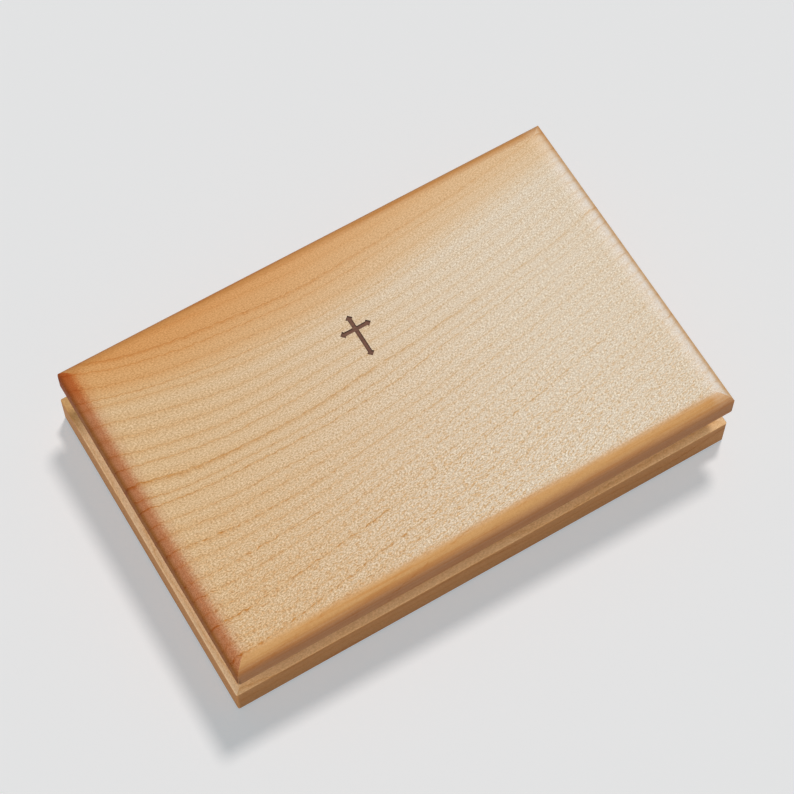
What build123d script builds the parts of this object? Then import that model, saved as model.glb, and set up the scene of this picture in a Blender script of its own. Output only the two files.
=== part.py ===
from build123d import *
import os

# Valet box: a shallow maple box on a mitred plinth, with set-back walls and a hinged, rounded lid.
# Millimetres, +Z up, +X along the length, the front towards -Y.
# The origin is the centre of the felt underside, on the surface that the box stands on.

# Plinth, a mitred frame round the foot of the walls: its outside is the footprint of the box
PLINTH_LENGTH = 215.9
PLINTH_WIDTH = 139.7
PLINTH_HEIGHT = 15.0
PLINTH_RAIL = 9.525
PLINTH_CORNER = 1.0

# Walls, mitred at the corners, which stand back behind the ledge of the plinth
WALL_THICKNESS = 9.525
WALL_REVEAL = 15.75
WALL_CORNER = 0.6

# Bottom panel, let into a rebate round the foot of the walls
PANEL_THICKNESS = 4.0
PANEL_REBATE = 4.0
PANEL_CLEARANCE = 0.15

# Felt inside the box and under it
LINER_THICKNESS = 1.5
LINER_CLEARANCE = 0.4
BASE_FELT_THICKNESS = 0.8
BASE_FELT_SETBACK = 5.0

# Lid: one board with a quarter-round top edge, set back a little at the ends and the back
LID_THICKNESS = 12.7
LID_ROUNDOVER = 6.35
LID_CORNER = 1.5
LID_FRONT_OVERHANG = 2.0
LID_BACK_SETBACK = 1.5
LID_END_SETBACK = 0.75
LID_GAP = 0.2

# Sanded edge of every wooden piece
EDGE_EASE = 0.5

# Butt hinges, let into the top of the back wall and the underside of the lid
HINGE_LENGTH = 38.0
HINGE_END_SETBACK = 24.0
KNUCKLES = 5
KNUCKLE_GAP = 0.2
LEAF_THICKNESS = 1.0
MORTISE_LIP = 1.4
MORTISE_CLEARANCE = 0.1
BARREL_CLEARANCE = 0.35
PIN_DIAMETER = 2.0
PIN_CLEARANCE = 0.05
PIN_END_EASE = 0.3

# Countersunk slotted screws of the hinges, two to a leaf, with heads as deep as the leaf
SCREW_LENGTH = 8.0
SCREW_SHANK = 1.9
SCREW_HEAD = SCREW_SHANK + 2 * LEAF_THICKNESS
SCREW_POINT = 2.0
SCREW_TIP = 0.4
SCREW_SLOT_WIDTH = 0.6
SCREW_SLOT_DEPTH = 0.45
SCREW_CLEARANCE = 0.05
SCREW_END_DISTANCE = 8.0

# Levels, from the surface upwards
FOOT_Z = BASE_FELT_THICKNESS
RIM_Z = FOOT_Z + PLINTH_HEIGHT
WALL_TOP_Z = RIM_Z + WALL_REVEAL
LID_Z = WALL_TOP_Z + LID_GAP
PANEL_TOP_Z = FOOT_Z + PANEL_THICKNESS

# Outside and inside of the walls
WALL_LENGTH = PLINTH_LENGTH - 2 * PLINTH_RAIL
WALL_WIDTH = PLINTH_WIDTH - 2 * PLINTH_RAIL
WALL_HEIGHT = WALL_TOP_Z - FOOT_Z
INNER_LENGTH = WALL_LENGTH - 2 * WALL_THICKNESS
INNER_WIDTH = WALL_WIDTH - 2 * WALL_THICKNESS

# Outline of the lid in plan
LID_LENGTH = PLINTH_LENGTH - 2 * LID_END_SETBACK
LID_FRONT_Y = -PLINTH_WIDTH / 2 - LID_FRONT_OVERHANG
LID_BACK_Y = PLINTH_WIDTH / 2 - LID_BACK_SETBACK
LID_WIDTH = LID_BACK_Y - LID_FRONT_Y
LID_CENTRE_Y = (LID_BACK_Y + LID_FRONT_Y) / 2

# Hinge axis: the barrel lies behind the back wall, under the overhang of the lid
PIN_RADIUS = PIN_DIAMETER / 2
BORE_RADIUS = PIN_RADIUS + PIN_CLEARANCE
BARREL_RADIUS = BORE_RADIUS + LEAF_THICKNESS
AXIS_Y = WALL_WIDTH / 2 + BARREL_RADIUS + BARREL_CLEARANCE
AXIS_Z = WALL_TOP_Z + LID_GAP / 2
HINGE_X = WALL_LENGTH / 2 - HINGE_END_SETBACK - HINGE_LENGTH / 2

# Leaf of a hinge, measured from the axis towards the front
LEAF_REACH = AXIS_Y - WALL_WIDTH / 2 + WALL_THICKNESS - MORTISE_LIP
PLATE_BACK = BARREL_RADIUS + BARREL_CLEARANCE
SCREW_Y = -(LEAF_REACH + PLATE_BACK) / 2
SCREW_X = HINGE_LENGTH / 2 - SCREW_END_DISTANCE


def prism(outline, bottom, top):
    """Solid with the given outline in plan, between two levels."""
    return extrude(Pos(0, 0, bottom) * outline, top - bottom)


def cuboid(x_range, y_range, z_range):
    """Straight-sided block between limits along each axis."""
    outline = Rectangle(x_range[1] - x_range[0], y_range[1] - y_range[0], align=(Align.MIN, Align.MIN))
    return prism(Pos(x_range[0], y_range[0]) * outline, *z_range)


def rod(radius, length):
    """Round bar along X, centred on the origin."""
    return extrude(Plane.YZ * Circle(radius), length / 2, both=True)


def eased_section(thickness, height, corners):
    """Upright section of a rail from its outer face inwards, with some of its corners eased."""
    section = Rectangle(thickness, height, align=(Align.MIN, Align.MIN))
    picked = [v for v in section.vertices() if (v.X > thickness / 2, v.Y > height / 2) in corners]
    return fillet(picked, EDGE_EASE)


def mitred_side(section, thickness, run, depth):
    """Front side of a frame: a section run along X, cut at both ends to a mitre."""
    bar = extrude(Plane.YZ * (Pos(-depth, FOOT_Z) * section), run / 2, both=True)
    outer = run / 2
    inner = outer - thickness
    back = thickness - depth
    trapezium = Polygon((-outer, -depth), (outer, -depth), (inner, back), (-inner, back), align=None)
    return bar & prism(trapezium, 0, LID_Z)


def mitred_frame(section, thickness, length, width, corner):
    """Four mitred sides of a frame, by name, with the upright corners rounded."""
    outline = prism(RectangleRounded(length, width, corner), 0, LID_Z)
    sides = {}
    for turn, name in enumerate(("front", "right", "back", "left")):
        run, across = (width, length) if turn % 2 else (length, width)
        side = mitred_side(section, thickness, run, across / 2)
        sides[name] = Rot(0, 0, 90 * turn) * side & outline
    return sides


def plinth_rails():
    """Rails of the plinth, eased along both outer edges."""
    section = eased_section(PLINTH_RAIL, PLINTH_HEIGHT, {(False, False), (False, True)})
    return mitred_frame(section, PLINTH_RAIL, PLINTH_LENGTH, PLINTH_WIDTH, PLINTH_CORNER)


def wall_boards():
    """Walls, rebated for the bottom panel, with the back wall cut for the hinges."""
    section = eased_section(WALL_THICKNESS, WALL_HEIGHT, {(False, True), (True, True)})
    rebate = Rectangle(PANEL_REBATE, PANEL_THICKNESS, align=(Align.MAX, Align.MIN))
    section -= Pos(WALL_THICKNESS, 0) * rebate
    walls = mitred_frame(section, WALL_THICKNESS, WALL_LENGTH, WALL_WIDTH, WALL_CORNER)
    for place in hinge_places():
        walls["back"] -= place * box_mortise()
    return walls


def bottom_panel():
    """Thin panel that fills the rebate of the walls."""
    spare = 2 * (PANEL_REBATE - PANEL_CLEARANCE)
    return prism(Rectangle(INNER_LENGTH + spare, INNER_WIDTH + spare), FOOT_Z, PANEL_TOP_Z)


def felt_liner():
    """Felt that covers the floor of the box."""
    sheet = Rectangle(INNER_LENGTH - 2 * LINER_CLEARANCE, INNER_WIDTH - 2 * LINER_CLEARANCE)
    return prism(sheet, PANEL_TOP_Z, PANEL_TOP_Z + LINER_THICKNESS)


def base_felt():
    """Felt glued under the box, which it stands on."""
    sheet = Rectangle(PLINTH_LENGTH - 2 * BASE_FELT_SETBACK, PLINTH_WIDTH - 2 * BASE_FELT_SETBACK)
    return prism(sheet, 0, FOOT_Z)


def lid_section(width):
    """Section across the lid: quarter-rounds above, eased edges below."""
    board = Rectangle(width, LID_THICKNESS, align=(Align.CENTER, Align.MIN))
    board = fillet(board.vertices().group_by(Axis.Y)[-1], LID_ROUNDOVER)
    return fillet(board.vertices().group_by(Axis.Y)[0], EDGE_EASE)


def lid_panel():
    """Lid board: its rounded sections along both axes meet in mitred ridges at the corners."""
    along = extrude(Plane.YZ * lid_section(LID_WIDTH), LID_LENGTH / 2, both=True)
    across = extrude(Plane.XZ * lid_section(LID_LENGTH), LID_WIDTH / 2, both=True)
    outline = prism(RectangleRounded(LID_LENGTH, LID_WIDTH, LID_CORNER), 0, LID_THICKNESS)
    lid = Pos(0, LID_CENTRE_Y, LID_Z) * (along & across & outline)
    for place in hinge_places():
        lid -= place * lid_mortise()
    return lid


def hinge_places():
    """Where the two hinges lie, on their common axis."""
    return [Pos(x, AXIS_Y, AXIS_Z) for x in (-HINGE_X, HINGE_X)]


def screw_places():
    """Where the screws of a leaf enter the box, from a hinge's own origin."""
    return [Pos(x, SCREW_Y, -LID_GAP / 2) for x in (-SCREW_X, SCREW_X)]


def upside_down(piece):
    """The same piece turned over about the hinge axis, for the lid."""
    return mirror(piece, about=Plane.XY)


def turned(*points):
    """Round solid about Z with the given half section, as distances from the axis and levels."""
    return revolve(Plane.XZ * make_face(Polyline(*points, close=True)), Axis.Z)


def countersink():
    """Room in a leaf for the head of a screw at the origin."""
    head = SCREW_HEAD / 2 + SCREW_CLEARANCE
    shank = SCREW_SHANK / 2 + SCREW_CLEARANCE
    return turned((0, 0), (head, 0), (shank, -LEAF_THICKNESS), (0, -LEAF_THICKNESS))


def pilot_hole():
    """Hole in the wood for a screw whose head is at the origin."""
    return prism(Circle(SCREW_SHANK / 2 + SCREW_CLEARANCE), -SCREW_LENGTH - SCREW_CLEARANCE, 0)


def screw():
    """Slotted countersunk screw with its head at the origin, its blunt point downwards."""
    head = SCREW_HEAD / 2
    shank = SCREW_SHANK / 2
    point = SCREW_POINT - SCREW_LENGTH
    outline = (head, 0), (shank, -LEAF_THICKNESS), (shank, point), (SCREW_TIP / 2, -SCREW_LENGTH)
    half_slot = SCREW_SLOT_WIDTH / 2
    slot = cuboid((-SCREW_HEAD, SCREW_HEAD), (-half_slot, half_slot), (-SCREW_SLOT_DEPTH, SCREW_SLOT_DEPTH))
    return turned((0, 0), *outline, (0, -SCREW_LENGTH)) - slot


def hinge_leaf(first):
    """Leaf for the box, with every second knuckle from the given one, the hinge being closed."""
    upper = -LID_GAP / 2
    lower = upper - LEAF_THICKNESS
    half = HINGE_LENGTH / 2
    leaf = cuboid((-half, half), (-LEAF_REACH, -PLATE_BACK), (lower, upper))
    pitch = HINGE_LENGTH / KNUCKLES
    for index in range(first, KNUCKLES, 2):
        middle = (index + 0.5) * pitch - half
        span = (pitch - KNUCKLE_GAP) / 2
        leaf += cuboid((middle - span, middle + span), (-PLATE_BACK, 0), (lower, upper))
        leaf += Pos(middle, 0, 0) * rod(BARREL_RADIUS, 2 * span)
    leaf -= rod(BORE_RADIUS, HINGE_LENGTH)
    for place in screw_places():
        leaf -= place * countersink()
    return leaf


def hinge_pin():
    """Pin of a hinge, as long as its barrel, with eased ends."""
    pin = rod(PIN_RADIUS, HINGE_LENGTH)
    return chamfer(pin.edges().filter_by(GeomType.CIRCLE), PIN_END_EASE)


def box_mortise():
    """Room for the box's leaf in the top of the back wall, and for its screws."""
    half = HINGE_LENGTH / 2 + MORTISE_CLEARANCE
    front = -LEAF_REACH - MORTISE_CLEARANCE
    room = cuboid((-half, half), (front, 0), (-LID_GAP / 2 - LEAF_THICKNESS, LID_GAP))
    for place in screw_places():
        room += place * pilot_hole()
    return room


def lid_mortise():
    """Room for the lid's leaf and screws, and for the upper half of the barrel."""
    groove = rod(BARREL_RADIUS + BARREL_CLEARANCE, HINGE_LENGTH + 2 * BARREL_CLEARANCE)
    return upside_down(box_mortise()) + groove


def hinge_pieces():
    """Leaves, pins and screws of both hinges, by name."""
    box_leaf = hinge_leaf(0)
    lid_leaf = upside_down(hinge_leaf(1))
    pieces = {}
    box_screws = []
    lid_screws = []
    for name, place in zip(("left", "right"), hinge_places()):
        pieces[f"hinge_{name}_box_leaf"] = place * box_leaf
        pieces[f"hinge_{name}_lid_leaf"] = place * lid_leaf
        pieces[f"hinge_{name}_pin"] = place * hinge_pin()
        for spot in screw_places():
            box_screws.append(place * spot * screw())
            lid_screws.append(place * upside_down(spot * screw()))
    pieces["hinge_box_screws"] = Compound(children=box_screws)
    pieces["hinge_lid_screws"] = Compound(children=lid_screws)
    return pieces


def all_pieces():
    """Every piece of the box, by the name of its node."""
    pieces = {f"plinth_{name}": rail for name, rail in plinth_rails().items()}
    pieces |= {f"wall_{name}": board for name, board in wall_boards().items()}
    pieces["bottom_panel"] = bottom_panel()
    pieces["felt_liner"] = felt_liner()
    pieces["base_felt"] = base_felt()
    pieces["lid_panel"] = lid_panel()
    return pieces | hinge_pieces()


os.makedirs("parts", exist_ok=True)
for node, piece in all_pieces().items():
    export_step(piece, f"parts/{node}.step")
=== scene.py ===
"""Looks of a maple valet box over its packed frame: grain, engraving, felt, brass and a plain stage."""
from math import cos, pi, radians, sin
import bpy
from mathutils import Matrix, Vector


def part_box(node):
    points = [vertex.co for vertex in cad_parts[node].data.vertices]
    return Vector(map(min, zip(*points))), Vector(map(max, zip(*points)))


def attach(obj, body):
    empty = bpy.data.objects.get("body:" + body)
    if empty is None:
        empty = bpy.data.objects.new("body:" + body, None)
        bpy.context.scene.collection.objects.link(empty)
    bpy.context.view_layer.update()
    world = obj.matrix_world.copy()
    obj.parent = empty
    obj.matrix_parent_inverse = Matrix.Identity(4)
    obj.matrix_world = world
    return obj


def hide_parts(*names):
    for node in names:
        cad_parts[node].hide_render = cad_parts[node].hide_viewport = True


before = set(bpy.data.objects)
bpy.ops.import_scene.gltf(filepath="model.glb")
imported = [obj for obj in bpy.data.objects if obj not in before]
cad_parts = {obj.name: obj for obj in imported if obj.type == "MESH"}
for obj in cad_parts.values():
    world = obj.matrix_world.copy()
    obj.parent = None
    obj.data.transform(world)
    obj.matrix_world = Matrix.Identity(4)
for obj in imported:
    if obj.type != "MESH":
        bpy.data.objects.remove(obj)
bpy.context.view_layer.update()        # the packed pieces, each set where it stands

from types import SimpleNamespace

import bmesh
import bpy
from bpy.props import FloatProperty, FloatVectorProperty, IntProperty, PointerProperty
from mathutils import Matrix, Vector, noise

bl_info = {
    "name": "Valet Box",
    "version": (1, 0, 0),
    "blender": (4, 5, 0),
    "location": "3D View > Sidebar > Valet Box",
    "description": "Dresses the frame of a hinged maple box with its finishes, and sets its stage",
    "category": "Object",
}

MM = 0.001
PER_MM = 1 / MM
JOIN = 0.001 * MM        # corners of a mesh that are nearer than this are one
HAIR = 0.01 * MM         # less than any size that shows

# Limits of the lid board in millimetres, and where along it the maple starts and stops to pale; to the right that
# paling is partly painted sheen
LID_LEFT, LID_FRONT, _ = (limit * PER_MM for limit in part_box("lid_panel")[0])
LID_RIGHT, _, LID_TOP = (limit * PER_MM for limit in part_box("lid_panel")[1])
PALING = {"From Min": -105.0, "From Max": 90.0}

# Tints of maple that multiply its colour: within a ring, in the dashes of ray fleck and in the finest fleck
WARM_BAND = (0.99, 0.95, 0.89, 1.0)
PALE_BAND = (1.02, 1.05, 1.1, 1.0)
DASH = (0.9, 0.71, 0.48, 1.0)
DEEP_FLECK = (0.7, 0.61, 0.5, 1.0)
PALE_FLECK = (1.28, 1.39, 1.54, 1.0)

# How the boards of the case lie in the log that they are cut from, in millimetres, how their rings tilt, and how
# much painted light each rail takes
NEXT_BOARD = Vector((137, 29, 17))
NEXT_FRAME = Vector((61, 0, 7))
RING_TILT = {"plinth": radians(35), "wall": radians(65)}
# Painted light: the left rail, which stands in more light, is painted palest, the front one, under the lid, least
PAINTED_LIGHT_BY_RAIL = {"front": 0.1, "right": 0.5, "back": 0.3, "left": 1.0}

# Settings that many nodes share: a colour between two, a tint multiplied into a colour, and a smooth share
BLEND = {"data_type": "RGBA"}
TINT = {"data_type": "RGBA", "blend_type": "MULTIPLY"}
SMOOTH = {"interpolation_type": "SMOOTHSTEP"}


# Shared helpers

def linear(code):
    """Linear RGBA of an sRGB hex colour."""
    parts = [int(code[i:i + 2], 16) / 255 for i in (1, 3, 5)]
    return tuple(((c + 0.055) / 1.055) ** 2.4 if c > 0.04045 else c / 12.92 for c in parts) + (1.0,)


def colour(name, code, description):
    """Colour property with an sRGB hex default."""
    return FloatVectorProperty(
        name=name, description=description, default=linear(code), subtype="COLOR", size=4, min=0, max=1
    )


def length(name, millimetres, description):
    """Length property with a default in millimetres."""
    return FloatProperty(
        name=name, description=description, default=millimetres * MM, unit="LENGTH", precision=5
    )


def angle(name, degrees, description):
    """Angle property with a default in degrees."""
    return FloatProperty(name=name, description=description, default=radians(degrees), subtype="ANGLE")


def share(name, default, description):
    """Property for a share, from 0 to 1."""
    return FloatProperty(name=name, description=description, default=default, subtype="FACTOR", min=0, max=1)


def add(tree, kind, inputs=None, **settings):
    """Add a node; a bare kind is a shader node's, as Math for ShaderNodeMath.

    An input is named or numbered, and is a value, a socket or a node to link from.
    """
    node = tree.nodes.new(kind if "Node" in kind else "ShaderNode" + kind)
    for key, value in settings.items():
        setattr(node, key, value)
    for key, value in (inputs or {}).items():
        shown = [s for s in node.inputs if s.enabled]
        socket = shown[key] if isinstance(key, int) else next(s for s in shown if s.name == key)
        if isinstance(value, bpy.types.Node):
            value = next(s for s in value.outputs if s.enabled)
        if isinstance(value, bpy.types.NodeSocket):
            tree.links.new(value, socket)
        else:
            socket.default_value = value
    return node


def new_material(name):
    """Empty node material; returns it with its tree."""
    material = bpy.data.materials.new(name)
    material.use_nodes = True
    material.node_tree.nodes.clear()
    return material, material.node_tree


def finish_material(tree, surface):
    """Join the surface shader to the output."""
    add(tree, "OutputMaterial", {"Surface": surface})


def new_piece(name, mesh, materials=()):
    """Object at the origin that shows a mesh with its materials."""
    mesh.materials.clear()
    for material in materials:
        mesh.materials.append(material)
    piece = bpy.data.objects.new(name, mesh)
    bpy.context.scene.collection.objects.link(piece)
    return piece


def new_mesh(name, work):
    """Mesh of what was worked on, which is freed."""
    mesh = bpy.data.meshes.new(name)
    work.to_mesh(mesh)
    work.free()
    return mesh


def joined_copy(node):
    """Working copy of a node's mesh with its loose triangles joined."""
    work = bmesh.new()
    work.from_mesh(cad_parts[node].data)
    bmesh.ops.remove_doubles(work, verts=work.verts, dist=JOIN)
    return work


def smooth_faces(mesh, limit):
    """Shade a mesh smooth, but sharp where faces meet at more than a limit."""
    mesh.polygons.foreach_set("use_smooth", [True] * len(mesh.polygons))
    mesh.set_sharp_from_angle(angle=limit)


def dress(node, material):
    """Give a node of the frame its finish."""
    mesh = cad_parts[node].data
    for index in range(len(mesh.materials)):
        mesh.materials[index] = material


def evaluated_mesh(piece):
    """Plain mesh of a piece with its modifiers, which are then removed."""
    graph = bpy.context.evaluated_depsgraph_get()
    graph.update()
    mesh = bpy.data.meshes.new_from_object(piece.evaluated_get(graph))
    piece.modifiers.clear()
    return mesh


# Settings

class LidSettings(bpy.types.PropertyGroup):
    """Grain and engraving of the lid board"""

    ring_pitch: length("Ring Pitch", 4.1, "Distance between growth rings, square to them")
    face_warm: colour("Warm Face", "#D3B084", "Face of the board towards its left end")
    # Partly the maple's own paler tone, partly painted sheen
    face_pale_and_sheen: colour("Pale Face", "#DCCBB3", "Face of the board towards its right end")
    heart: colour("Heartwood", "#F9D2A5", "Stain of the heartwood along the back edge")
    # Painted shade: the long edges' routed tone darkened as shade, most where they stand upright
    shaded_side_gold: colour("Golden Side Grain", "#CF9E66", "Routed long edges, where they start")
    shaded_side_grain: colour("Side Grain", "#C28C60", "Routed long edges, where they stand upright")
    # End grain has its own tone; the left end is painted darker as shade where it stands upright, the right end
    # painted light, palest as a highlight on its roundover
    end_warm: colour("Warm End Grain", "#B2754E", "Left end, on its roundover")
    end_deep_shade: colour("Deep End Grain", "#965A1C", "Left end, where it stands upright")
    end_pale_highlight: colour("Pale End Grain", "#EBDDCD", "Right end, on its roundover")
    end_gold_lit: colour("Golden End Grain", "#EBBE8A", "Right end, where it stands upright")
    ring: colour("Ring Line", "#E3BC75", "Tint of the latewood lines")
    cross_height: length("Cross Height", 19.4, "Height of the engraved cross")
    cross_width: length("Cross Width", 13.3, "Span of the engraved cross")
    cross_depth: length("Cross Depth", 0.7, "Depth of the engraving")
    cross_offset: length("Cross Offset", -1.4, "Place of the cross along the lid, from its middle")
    cross_setback: length("Cross Setback", 43.0, "Distance of the crossing from the back edge of the lid")
    burnt_floor: colour("Burnt Floor", "#6E4A3A", "Floor of the engraving")
    # Walls of the engraving are charred, and painted darker still as the shade inside the recess
    charred_wall_shade: colour("Charred Wall", "#2A150F", "Walls of the engraving")


class BoardSettings(bpy.types.PropertyGroup):
    """Maple of the plinth and the walls, and the panel under the felt"""

    ring_pitch: length("Ring Pitch", 4.5, "Distance between growth rings on the rails")
    face: colour("Face", "#E0B481", "Upper and inner faces of the boards")
    # Painted light: level faces of the rail that stands in most light
    lit_pale_face: colour("Pale Face", "#F2CEA2", "The same, on the palest board")
    # Painted shade: level faces towards the back are darkened where the key lamp reaches under the lid
    painted_shade_back: colour("Deep Face", "#BE9562", "The same, at the back, where the boards are deepest")
    # Painted shade: the colour that all upright faces of the rails and walls take
    side: colour("Outer Side", "#CA925C", "Outer faces, which take a deeper tone")
    ring: colour("Ring Line", "#DAB873", "Tint of the latewood lines")
    veneer: colour("Veneer", "#D6B587", "Face veneer of the bottom panel")
    veneer_pitch: length("Veneer Pitch", 8.0, "Distance between growth rings on the peeled veneer")
    core: colour("Core Ply", "#B98F60", "Middle plies of the bottom panel")
    plies: IntProperty(name="Plies", description="Number of plies in the bottom panel", default=3, min=1)


class FeltSettings(bpy.types.PropertyGroup):
    """Felt inside the box and under it"""

    wool: colour("Wool", "#3B332E", "Body of the felt")
    fibre: colour("Fibre", "#766759", "Lighter hairs at its surface")
    hair_spacing: length("Hair Spacing", 1.5, "Distance between the longest hairs")
    unevenness: length("Unevenness", 0.15, "Depth of the hollows in its upper side")
    edge_drop: length("Edge Drop", 0.3, "How far its upper side drops at the edge")


class BrassSettings(bpy.types.PropertyGroup):
    """Hinges and their screws"""

    bright: colour("Bright Brass", "#D5B877", "Brass where it is clean")
    toned: colour("Toned Brass", "#94703A", "Brass where it has tarnished")
    leaf_tarnish: share("Leaf Tarnish", 0.05, "Least share of toned brass on leaves and pins")
    screw_tarnish: share("Screw Tarnish", 0.6, "Least share of toned brass on screws")
    screw_shank: length("Shank", 1.9, "Diameter of a screw's shank, over its thread")
    screw_point: length("Point", 2.0, "Length of a screw's point")
    thread_pitch: length("Thread Pitch", 0.9, "Distance between the turns of the thread")
    slot_width: length("Slot Width", 0.6, "Width of the slot in a screw's head")
    slot_depth: length("Slot Depth", 0.45, "Depth of the slot")
    slot_seed: IntProperty(name="Slot Seed", description="Seed of the turns of the slots", default=4)


class StageSettings(bpy.types.PropertyGroup):
    """Floor, light and camera"""

    floor: colour("Floor", "#E1DAD6", "Plain floor, as the light falls on it")
    glow: colour("Backdrop", "#9FA6AA", "What the camera sees of the floor besides that light")
    backdrop: colour("Far Backdrop", "#E3E3E3", "What the camera sees beyond the floor")
    floor_reach: length("Floor Reach", 4000, "Distance of the floor's sides from the box")
    key_share: share("Key", 0.4, "Share of the light on the lid from the key lamp")
    key_azimuth: angle("Key Azimuth", 39.5, "Where the key lamp stands, round from +X")
    key_height: angle("Key Height", 64, "Height of the key lamp over the floor")
    key_softness: angle("Key Softness", 10, "Width of the key lamp, seen from the box")
    fill_share: share("Fill", 0.45, "Share of the light on the lid from the fill lamp")
    fill_azimuth: angle("Fill Azimuth", 213, "Where the fill lamp stands, round from +X")
    fill_height: angle("Fill Height", 50, "Height of the fill lamp over the floor")
    fill_softness: angle("Fill Softness", 40, "Width of the fill lamp, seen from the box")
    view_turn: angle("View Turn", 30.66, "Turn of the camera round the box, from its front")
    view_height: angle("View Height", 64.86, "Height of the camera over the floor")
    view_distance: length("View Distance", 1029.1, "Distance of the camera from the floor, along its axis")
    view_x: length("View X", 8.2, "Where the camera's axis meets the floor, along the box")
    view_y: length("View Y", 10.8, "Where the camera's axis meets the floor, across the box")
    focal_length: FloatProperty(
        name="Focal Length", description="Focal length, in millimetres on a 36 mm sensor", default=118.86
    )


# Maple

def board_place(tree, turn=0.0, shift=(0, 0, 0)):
    """Place on a board in millimetres, X along the grain."""
    where = add(tree, "TexCoord").outputs["Object"]
    return add(tree, "Mapping", {
        "Vector": where, "Location": shift, "Rotation": (0, 0, turn), "Scale": (PER_MM, PER_MM, PER_MM)
    })


def object_normal(tree):
    """Sizes of the surface normal along the object's axes: X, Y and Z."""
    normal = add(tree, "TexCoord").outputs["Normal"]
    size = add(tree, "VectorMath", {0: normal}, operation="ABSOLUTE")
    return add(tree, "SeparateXYZ", {0: size}).outputs


def mottle(tree, place, size, detail=1.0):
    """Mottling about zero, its patches of a given size in millimetres along each axis."""
    spaced = add(tree, "VectorMath", {0: place, 1: size}, operation="DIVIDE")
    return add(tree, "TexNoise", {"Vector": spaced, "Scale": 1.0, "Detail": detail}, normalize=False)


def swept_rings(tree, place):
    """Distance across the growth rings of the lid: they sweep in from its left end and lean to the right."""
    reach, size, growth = 144.4, 64.1, 0.378
    lean, dip = 0.298, 0.14
    x, y, z = add(tree, "SeparateXYZ", {0: place}).outputs
    along = add(tree, "Math", {0: x, 1: -1 / reach, 2: LID_LEFT / reach}, operation="MULTIPLY_ADD")
    fade = add(tree, "Math", {0: along}, operation="EXPONENT")
    grown = add(tree, "Math", {0: y, 1: growth, 2: size}, operation="MULTIPLY_ADD")
    sweep = add(tree, "Math", {0: grown, 1: fade}, operation="MULTIPLY")
    leaning = add(tree, "Math", {0: x, 1: -lean, 2: y}, operation="MULTIPLY_ADD")
    dipping = add(tree, "Math", {0: z, 1: dip, 2: leaning}, operation="MULTIPLY_ADD")
    return add(tree, "Math", {0: dipping, 1: sweep}, operation="SUBTRACT")


def straight_rings(tree, place, tilt):
    """Distance across the growth rings of a straight rail, whose rings stand at a tilt in its section."""
    _, y, z = add(tree, "SeparateXYZ", {0: place}).outputs
    across = add(tree, "Math", {0: y, 1: cos(tilt)}, operation="MULTIPLY")
    return add(tree, "Math", {0: z, 1: sin(tilt), 2: across}, operation="MULTIPLY_ADD")


def wavering(tree, place, rings, bend, ripple):
    """Rings with slow bends along the board and a fine ripple, both in millimetres."""
    bend_size, ripple_size = (75, 26, 26), (2.6, 4.5, 4.5)
    bends = mottle(tree, place, bend_size)
    ripples = mottle(tree, place, ripple_size, detail=2.0)
    bent = add(tree, "Math", {0: bends, 1: bend, 2: rings}, operation="MULTIPLY_ADD")
    return add(tree, "Math", {0: ripples, 1: ripple, 2: bent}, operation="MULTIPLY_ADD")


def ring_bands(tree, rings, pitch, unevenness):
    """Growth rings of uneven width: each deepens to a line and ends there; returns lines and bands."""
    drift_pace, faintest, line_start, sharpness = 0.55, 0.3, 0.78, 2.0
    count = add(tree, "Math", {0: rings, 1: 1 / pitch}, operation="MULTIPLY")
    pace = add(tree, "Math", {0: count, 1: drift_pace}, operation="MULTIPLY")
    drift = add(tree, "TexNoise", {"W": pace, "Scale": 1.0, "Detail": 1.0}, noise_dimensions="1D")
    uneven = add(tree, "Math", {0: drift, 1: unevenness, 2: count}, operation="MULTIPLY_ADD")
    part = add(tree, "Math", {0: uneven}, operation="FRACT")
    number = add(tree, "Math", {0: uneven}, operation="FLOOR")
    draw = add(tree, "TexWhiteNoise", {"W": number}, noise_dimensions="1D")
    strength = add(tree, "MapRange", {"Value": draw, "To Min": faintest, "To Max": 1.0})
    rise = add(tree, "MapRange", {"Value": part, "From Min": line_start})
    line = add(tree, "Math", {0: rise, 1: sharpness}, operation="POWER")
    drawn = add(tree, "Math", {0: line, 1: strength}, operation="MULTIPLY")
    middle = add(tree, "Math", {0: part, 1: 2.0, 2: -1.0}, operation="MULTIPLY_ADD")
    band = add(tree, "Math", {0: middle}, operation="ABSOLUTE")
    return drawn, band


def ring_lines(tree, grain, rings, pitch, clumping):
    """Bold lines with finer ones between, broken up where ray fleck clumps; returned with the bands."""
    finer, slightness, break_size = 2.6, 0.2, (3.0, 1.2, 1.2)
    bold, band = ring_bands(tree, rings, pitch, unevenness=1.6)
    slight, _ = ring_bands(tree, rings, pitch / finer, unevenness=1.4)
    both = add(tree, "Math", {0: slight, 1: slightness, 2: bold}, operation="MULTIPLY_ADD")
    least = add(tree, "MapRange", {"Value": clumping, "To Min": 0.8, "To Max": -1.0})
    most = add(tree, "MapRange", {"Value": clumping, "To Min": 1.2, "To Max": 1.8})
    breaks = add(tree, "MapRange", {
        "Value": mottle(tree, grain, break_size, detail=2.0), "From Min": -0.4, "From Max": 0.4,
        "To Min": least, "To Max": most
    })
    return add(tree, "Math", {0: both, 1: breaks}, operation="MULTIPLY"), band


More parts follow.
